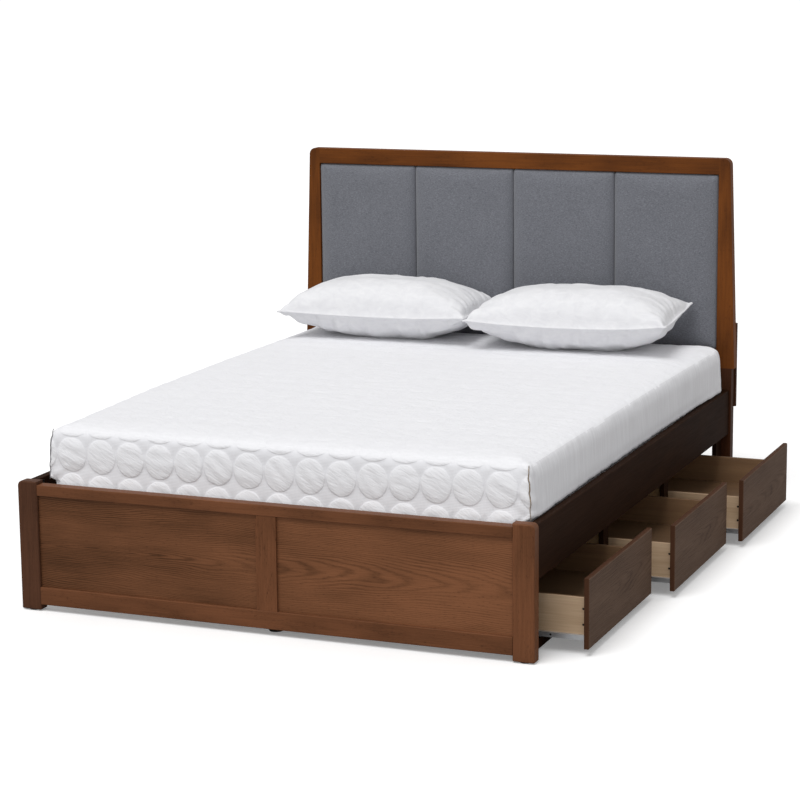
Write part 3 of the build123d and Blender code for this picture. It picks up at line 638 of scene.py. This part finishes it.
def mattress():
    """A mattress under a quilted cotton cover with a gathered knit skirt down its two sides."""
    low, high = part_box("mattress")
    rail_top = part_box("side_rail_right")[1][2]
    shy = 6 * MM
    start_low = (low[0] + shy, low[1] + shy, low[2] + 1 * MM)
    start_high = (high[0] - shy, high[1] - shy, high[2] - 2 * MM)
    piece = block("mattress_cover", start_low, start_high)

    def upright(a, b):
        return abs(a.x - b.x) + abs(a.y - b.y) < NEAR

    # right foot corner, left foot corner, both head corners, the edge of the top
    bevel_where(piece, lambda a, b: upright(a, b) and a.y < 0 < a.x, 16 * MM, 4)
    bevel_where(piece, lambda a, b: upright(a, b) and a.x < -0.7 and a.y < 0, 24 * MM, 4)
    bevel_where(piece, lambda a, b: upright(a, b) and a.y > 0, 40 * MM, 5)
    bevel_where(piece, lambda a, b: min(a.z, b.z) > start_high[2] - NEAR, 26 * MM, 5)
    voxel = 16 * MM
    apply_modifier(piece, "REMESH", mode="VOXEL", voxel_size=voxel)
    points = points_of(piece)
    puff(piece, 4.0, 8 * MM, 12, pinned=points[:, 2] < start_low[2] + 5 * MM)
    apply_modifier(piece, "SMOOTH", iterations=2, factor=0.5)
    apply_modifier(piece, "SUBSURF", levels=1, render_levels=1)

    # between the rails the cover is narrow; it swells over them and draws in again at the top edge
    points = points_of(piece)
    half = (high[0] - low[0]) / 2
    levels = [rail_top - 1 * MM, rail_top + 8 * MM, rail_top + 40 * MM, high[2] - 50 * MM, high[2]]
    widths = [half - 24 * MM, half - 3 * MM, half - 1 * MM, half - 5 * MM, half - 12 * MM]
    swell = np.interp(points[:, 2], levels, widths)
    left = np.interp(points[:, 1], LEFT_Y, LEFT_SHARE)
    right = np.interp(points[:, 1], RIGHT_Y, RIGHT_SHARE)
    points[:, 0] *= swell / np.abs(points[:, 0]).max() * np.where(points[:, 0] < 0, left, right)
    set_points(piece, points)

    normals = normals_of(piece)
    top_edge = high[2] - TOP_BEND
    foot_edge, head_edge = low[1] + TOP_BEND, high[1] - TOP_BEND

    def unfolded(places):
        """How far along the cloth each point lies, across and down the bed."""
        past = np.where(places[:, 1] < foot_edge, foot_edge - places[:, 1],
                        np.where(places[:, 1] > head_edge, places[:, 1] - head_edge, 0))
        angle = np.arctan2(past, np.clip(places[:, 2] - top_edge, 1e-6, None))
        over = np.where(past > 0, np.clip(angle, 0, math.pi / 2) * TOP_BEND, 0)
        over = over + np.where(past > 0, np.clip(top_edge - places[:, 2], 0, None), 0)
        inner = np.clip(places[:, 1], foot_edge, head_edge)
        down = np.where(places[:, 1] < foot_edge, inner - over, inner + over)
        return places[:, 0] - QUILT_SHIFT, down - (foot_edge - 100 * MM)

    # the rows of rings wander a little, as sewn rows do
    across, down = unfolded(points)
    sway = 5 * MM * soft_noise(across / 0.21, down / 0.17, 61)
    drift = 6 * MM * soft_noise(across / 0.24, down / 0.19, 62)
    across, down = across + sway, down + drift
    skirted = np.clip((np.abs(normals[:, 0]) - 0.75) / 0.2, 0, 1)
    under = points[:, 2] < low[2] + 30 * MM
    upwards = np.clip(normals[:, 2], 0, 1)
    full = 1.0 - 0.8 * upwards
    rough = soft_noise(across / 0.021, down / 0.012, 11) + soft_noise(across / 0.045, down / 0.02, 12)
    hung = soft_noise(across / 0.016, down / 0.09, 14)
    height = ring_height(across, down, full) + (0.4 * MM + 0.3 * MM * upwards) * rough
    height += 0.9 * MM * hung * (1 - upwards)
    height *= 1 - skirted
    pucker = soft_noise(points[:, 1] / 0.011, points[:, 2] / 0.15, 21)
    pucker += 1.4 * soft_noise(points[:, 1] / 0.06, points[:, 2] / 0.09, 22)
    height += 0.9 * MM * pucker * skirted
    # the skirt draws the quilt in at the two foot corners
    near_corner = np.clip((np.abs(across + QUILT_SHIFT) - half + 0.16) / 0.16, 0, 1)
    near_corner *= points[:, 1] < low[1] + 0.05
    drawn = soft_noise((points[:, 0] * 0.8 + points[:, 2] * np.sign(points[:, 0]) * 1.3) / 0.016,
                       points[:, 2] / 0.4, 23)
    height += 3.6 * MM * drawn * near_corner
    height[under] = 0
    points = points + normals * height[:, None]
    set_points(piece, points)

    # the quilt's map holds lengths along the cloth, the skirt's map lengths along and up the bed
    mesh = piece.data
    faces = len(mesh.polygons)
    facing = np.empty(faces * 3)
    mesh.polygons.foreach_get("normal", facing)
    facing = facing.reshape(-1, 3)
    corner_points = np.empty(len(mesh.loops), dtype=np.int32)
    mesh.loops.foreach_get("vertex_index", corner_points)
    totals = np.empty(faces, dtype=np.int32)
    mesh.polygons.foreach_get("loop_total", totals)
    owner = np.repeat(np.arange(faces), totals)
    side = np.abs(facing[:, 0]) > 0.72
    maps = np.stack([across[corner_points], down[corner_points]], 1)
    skirt_map = np.stack([points[corner_points, 1], points[corner_points, 2]], 1)
    maps[side[owner]] = skirt_map[side[owner]]
    layer = mesh.uv_layers.new(name="cloth")
    layer.data.foreach_set("uv", maps.ravel())
    mesh.materials.append(quilted_cotton("quilted_white_cotton"))
    mesh.materials.append(gathered_knit("gathered_white_knit"))
    mesh.polygons.foreach_set("material_index", side.astype(np.int32))
    smooth(piece)
    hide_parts("mattress")
    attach(piece, "frame")
    return piece


SEAM_STEPS = 16


def corner_seams(cover):
    """The overlocked seam where the quilt meets the skirt, down the two foot corners."""
    points = points_of(cover)
    top, base = points[:, 2].max() - 16 * MM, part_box("side_rail_right")[1][2] + 4 * MM
    threads = {"right": spun_thread("brown_overlock_thread", "#b3a08b", "#54463b"),
               "left": spun_thread("grey_overlock_thread", "#a3a1a3", "#5c5a5e")}
    for side, thread in threads.items():
        sign = 1 if side == "right" else -1
        path = []
        for number in range(SEAM_STEPS + 1):
            level = top + (base - top) * number / SEAM_STEPS
            band = points[(np.abs(points[:, 2] - level) < 9 * MM) & (points[:, 1] < -0.9)]
            outermost = band[np.argmax(band[:, 0] * sign - band[:, 1])]
            sway = 1.6 * MM * math.sin(number * 1.3) + 1.2 * MM * math.sin(number * 2.9)
            sway *= side == "right"
            path.append((outermost[0] - sign * 1 * MM + sway, outermost[1] - 1.2 * MM, level))
        line = tube(f"corner_seam_{side}", path, 1.5 * MM, uneven=0.6)
        paint(line, thread)
        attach(line, "frame")


# ---------------------------------------------------------------- pillows
def pillow(name, node, size, turn, lifts, seed, cotton):
    """Two sheets sewn round the edge and filled: full in the middle, thin at the sewn lip.
    lifts raises the four corners: left front, right front, left back, right back."""
    deselect()
    bpy.ops.mesh.primitive_grid_add(x_subdivisions=92, y_subdivisions=60, size=2)
    piece = bpy.context.active_object
    piece.name = name
    piece.data.name = name
    bpy.ops.object.mode_set(mode="EDIT")
    bpy.ops.mesh.select_all(action="SELECT")
    bpy.ops.mesh.extrude_region_move(TRANSFORM_OT_translate={"value": (0, 0, 1)})
    bpy.ops.mesh.select_all(action="SELECT")
    bpy.ops.mesh.normals_make_consistent(inside=False)
    bpy.ops.object.mode_set(mode="OBJECT")

    points = points_of(piece)
    s, t, upper = points[:, 0], points[:, 1], points[:, 2] > 0.5
    lip = 0.97  # the filling stops here, and a flat sewn edge is left
    si, ti = np.clip(s / lip, -1, 1), np.clip(t / lip, -1, 1)
    half_x, half_y, tall = size[0] / 2, size[1] / 2, size[2]
    seam = 0.44 * tall  # height of the seam
    crown = (tall - seam) * ((1 - np.abs(si) ** 3.2) * (1 - np.abs(ti) ** 3.0)) ** 0.62
    belly = seam * ((1 - np.abs(si) ** 3.0) * (1 - np.abs(ti) ** 2.2)) ** 0.75
    x = half_x * s * (1 - 0.035 * (1 - t * t))
    y = half_y * t * (1 - 0.06 * (1 - s * s))
    # gathers run in from the sewn edge and die out
    edge_x, edge_y = (1 - np.abs(si)) * half_x, (1 - np.abs(ti)) * half_y
    reach_x = np.exp(-edge_x / 0.055) * (1 - np.exp(-edge_x / 0.012))
    reach_y = np.exp(-edge_y / 0.050) * (1 - np.exp(-edge_y / 0.012))
    gather = soft_noise(y / 0.020 + seed, edge_x / 0.12, seed) * reach_x
    gather += soft_noise(x / 0.020 + seed, edge_y / 0.12 + 9, seed + 1) * reach_y
    slack = soft_noise(x / 0.075, y / 0.05, seed + 2) + 0.5 * soft_noise(x / 0.03, y / 0.024, seed + 3)
    inside = np.minimum(1, np.minimum(edge_x, edge_y) / 0.04)
    fold = 9 * MM * gather + 2.2 * MM * slack * inside
    weights = [((1 - s) / 2, (1 - t) / 2), ((1 + s) / 2, (1 - t) / 2),
               ((1 - s) / 2, (1 + t) / 2), ((1 + s) / 2, (1 + t) / 2)]
    raised = sum(lift * a ** 5 * b ** 2.5 for lift, (a, b) in zip(lifts, weights))
    z = seam + raised + np.where(upper, 1.5 * MM + crown + fold, -1.5 * MM - belly - 1.3 * fold)
    set_points(piece, np.stack([x, y, z], 1))
    puff(piece, 2.5, 9 * MM, 12, stiff=25.0)

    # the cloth sets into its gathers once it is full
    points = points_of(piece)
    points[:, 2] += np.where(upper, 0.5, -1.0) * fold
    set_points(piece, points)
    low, high = (np.array(corner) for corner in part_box(node))
    points[:, :2] -= (points[:, :2].max(0) + points[:, :2].min(0)) / 2
    points[:, 2] *= tall / np.ptp(points[np.abs(points[:, 0]) < 0.2, 2])
    points = points @ np.array(Matrix.Rotation(math.radians(turn), 3, "Z").transposed())
    points[:, :2] += (low[:2] + high[:2]) / 2
    points[:, 2] += low[2] + 0.5 * MM - np.percentile(points[:, 2], 2)
    points[:, 2] = np.maximum(points[:, 2], low[2] + 0.5 * MM)
    set_points(piece, points)
    # the piping runs between the edges of the two sheets
    rim = np.maximum(np.abs(s), np.abs(t)) > 1 - NEAR
    around = np.arctan2(t, s)
    edges = [np.nonzero(rim & sheet)[0] for sheet in (~upper, upper)]
    lower, over = (ids[np.argsort(around[ids])] for ids in edges)
    path = (points[lower] + points[over]) / 2
    apply_modifier(piece, "SUBSURF", levels=1, render_levels=1)
    smooth(piece)
    paint(piece, cotton)
    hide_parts(node)
    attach(piece, "frame")
    piping = tube(f"{name}_piping", path, 3.2 * MM, closed=True)
    paint(piping, cotton)
    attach(piping, "frame")


def pillows():
    """Two pillows side by side against the headboard, their outer corners raised a little."""
    cotton = pillow_cotton("white_percale")
    pillow("pillow_on_left", "pillow_left", (0.72, 0.41, 0.222), 1.0, (0.01, 0.02, 0.0, 0.02), 31, cotton)
    pillow("pillow_on_right", "pillow_right", (0.73, 0.41, 0.226), 3.0, (0.02, 0.03, 0.0, 0.06), 47, cotton)


# ---------------------------------------------------------------- finishes on the CAD nodes
def finish_nodes():
    """A finish for every CAD node that shows: one stain for each part of the bed."""
    foot = dict(light="#7a4d32", dark="#402614", pore="#26140a", mottle=1.1)
    foot_shaded = dict(light="#5b3a28", dark="#321d12", pore="#20120a", mottle=1.0)
    head = dict(light="#784318", dark="#371b09", pore="#241104", mottle=1.5)
    leg = dict(light="#4e2d1b", dark="#2a160c", pore="#1a0d06", mottle=1.0)
    rail = dict(light="#321e12", dark="#180c06", pore="#110803", rough=0.6, gleam=0.03)
    front = dict(light="#6f594a", dark="#3c2c24", pore="#241812", rough=0.6, gleam=0.05)
    boards = {
        "foot_post_left": ("ZX", foot_shaded), "foot_post_right": ("ZX", foot),
        "foot_top_rail": ("XZ", foot), "foot_bottom_rail": ("XZ", foot), "foot_mid_stile": ("ZX", foot),
        "head_post_left": ("ZX", head), "head_post_right": ("ZX", head), "head_top_rail": ("XZ", head),
        "head_low_rail": ("XZ", head), "head_leg_left": ("ZX", leg), "head_leg_right": ("ZX", leg),
        "head_cross_rail": ("XZ", head), "splice_boards": ("ZX", leg),
        "head_back_panel": ("XZ", dict(head, mottle=0.7)),
        "support_legs": ("ZX", rail), "side_rail_left": ("YZ", rail), "side_rail_right": ("YZ", rail),
        "face_frame": ("YZ", rail),
    }
    for number, (node, (lie, stain)) in enumerate(boards.items()):
        material = stained_veneer(f"stained_veneer_{node}", node, lie, ring=7.0, tilt=0.02, depth=0.35,
                                  offset=0.03 * (number % 5) - 0.06, figure=0.16, **stain)
        paint(node, material)
    paint("foot_panels", stained_veneer("stained_veneer_foot_panels", "foot_panels", "XZ", ring=5.0,
                                        tilt=0.05, depth=0.03, offset=0.01, figure=0.45, lean=-0.35,
                                        light="#86573a", dark="#432916", pore="#2a170c", mottle=0.9))
    for number in (1, 2, 3):
        node = f"drawer_front_{number}"
        paint(node, stained_veneer(f"stained_veneer_{node}", node, "YZ", ring=5.0, tilt=0.05, depth=0.02,
                                   offset=0.012 * number - 0.02, figure=0.26, edge="#452919", **front))
        low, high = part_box(f"drawer_sides_{number}")
        # the drawer boards carry painted shade inside each box
        board_with_painted_shade = drawer_board(f"printed_board_with_painted_shade_{number}", (low[1] + high[1]) / 2)
        for part in ("sides", "back", "bottom"):
            paint(f"drawer_{part}_{number}", board_with_painted_shade)
    pine = planed_pine("planed_pine")
    for node in ("slats", "slat_ledgers", "centre_beam", "runner_boards", "cross_ties",
                 "inner_drawer_rail"):
        paint(node, pine)
    zinc = rolled_zinc("zinc_plated_steel")
    oxide = black_oxide("black_oxide_steel")
    white_nylon = moulded_nylon("white_nylon", "#e4e4e0", "#cfcfca")
    black_nylon = moulded_nylon("black_nylon", "#2b2b2b", "#1c1c1c")
    paint("cabinet_slides", zinc)
    for number in (1, 2, 3):
        paint(f"drawer_slides_{number}", zinc)
        paint(f"drawer_screws_{number}", oxide)
        paint(f"drawer_rollers_{number}", white_nylon)
        paint(f"cabinet_rollers_{number}", white_nylon)
    for node in ("frame_bolts", "corner_brackets"):
        paint(node, oxide)
    paint("glides", black_nylon)


# ---------------------------------------------------------------- studio
ROOM_LIGHT = 0.56
BACKDROP_LIGHT = 1.05
# name, strength, spread in degrees, and where it shines to
LAMPS = (("key_softbox", 1.72, 35, (0.06, 0.27, -0.55)), ("low_fill", 0.4, 60, (-0.5, 0.7, 0.2)))
CAMERA_PLACE = (2.919, -7.185, 2.0148)
CAMERA_YAW, CAMERA_PITCH, CAMERA_ROLL = 0.3884, -0.1932, -0.0103
LENS_LENGTH = 108.52
SENSOR_WIDTH = 36.0


def studio():
    """White seamless floor, a broad soft light from above the foot end, even light all round.
    The floor gives the object less light than the camera sees, as a large studio floor does."""
    deselect()
    bpy.ops.mesh.primitive_plane_add(size=60, location=(0, 0, -0.0005))
    floor = bpy.context.active_object
    floor.name = "studio_floor"
    made, tree, shader = new_material("matt_white_floor")
    place = add(tree, "ShaderNodeTexCoord").outputs["Object"]
    tree.links.new(ramp_of(tree, noise(tree, place, 3.0), [(0.3, "#f6f6f6"), (0.7, "#fafafa")]),
                   shader.inputs["Base Color"])
    shader.inputs["Roughness"].default_value = 0.9
    shader.inputs["Specular IOR Level"].default_value = 0.1
    shader.inputs["Emission Color"].default_value = (1, 1, 1, 1)
    shader.inputs["Emission Strength"].default_value = 0.2
    grey = add(tree, "ShaderNodeBsdfDiffuse", {"Color": hexa("#b8b8b8")})
    seen = add(tree, "ShaderNodeLightPath").outputs["Is Camera Ray"]
    split = add(tree, "ShaderNodeMixShader", {0: seen, 1: grey.outputs[0], 2: shader.outputs[0]})
    output = next(node for node in tree.nodes if node.type == "OUTPUT_MATERIAL")
    tree.links.new(split.outputs[0], output.inputs["Surface"])
    floor.data.materials.append(made)

    world = bpy.data.worlds.new("white_studio")
    scene.world = world
    world.use_nodes = True
    tree = world.node_tree
    tree.nodes.clear()
    around = add(tree, "ShaderNodeBackground", {"Color": (1, 1, 1, 1), "Strength": ROOM_LIGHT})
    behind = add(tree, "ShaderNodeBackground", {"Color": (1, 1, 1, 1), "Strength": BACKDROP_LIGHT})
    seen = add(tree, "ShaderNodeLightPath").outputs["Is Camera Ray"]
    both = add(tree, "ShaderNodeMixShader", {0: seen, 1: around.outputs[0], 2: behind.outputs[0]})
    add(tree, "ShaderNodeOutputWorld", {0: both.outputs[0]})

    for name, energy, spread, towards in LAMPS:
        light = bpy.data.lights.new(name, "SUN")
        light.energy = energy
        light.angle = math.radians(spread)
        lamp = bpy.data.objects.new(name, light)
        scene.collection.objects.link(lamp)
        lamp.rotation_euler = Vector(towards).to_track_quat("-Z", "Y").to_euler()


def camera():
    """Camera at the fitted place: three quarters from the foot, on the drawer side."""
    yaw, pitch, roll = CAMERA_YAW, CAMERA_PITCH, CAMERA_ROLL
    forward = Vector((-math.sin(yaw) * math.cos(pitch), math.cos(yaw) * math.cos(pitch), math.sin(pitch)))
    level = Vector((math.cos(yaw), math.sin(yaw), 0))
    upward = level.cross(forward)
    right = level * math.cos(roll) + upward * math.sin(roll)
    upward = upward * math.cos(roll) - level * math.sin(roll)
    lens = bpy.data.cameras.new("camera")
    lens.lens = LENS_LENGTH
    lens.sensor_width = SENSOR_WIDTH
    eye = bpy.data.objects.new("camera", lens)
    scene.collection.objects.link(eye)
    turn = Matrix((right, upward, -forward)).transposed().to_4x4()
    eye.matrix_world = Matrix.Translation(CAMERA_PLACE) @ turn
    scene.camera = eye


camera()
studio()
finish_nodes()
headboard_pads()
corner_seams(mattress())
pillows()
scene.view_settings.view_transform = "Standard"
deselect()
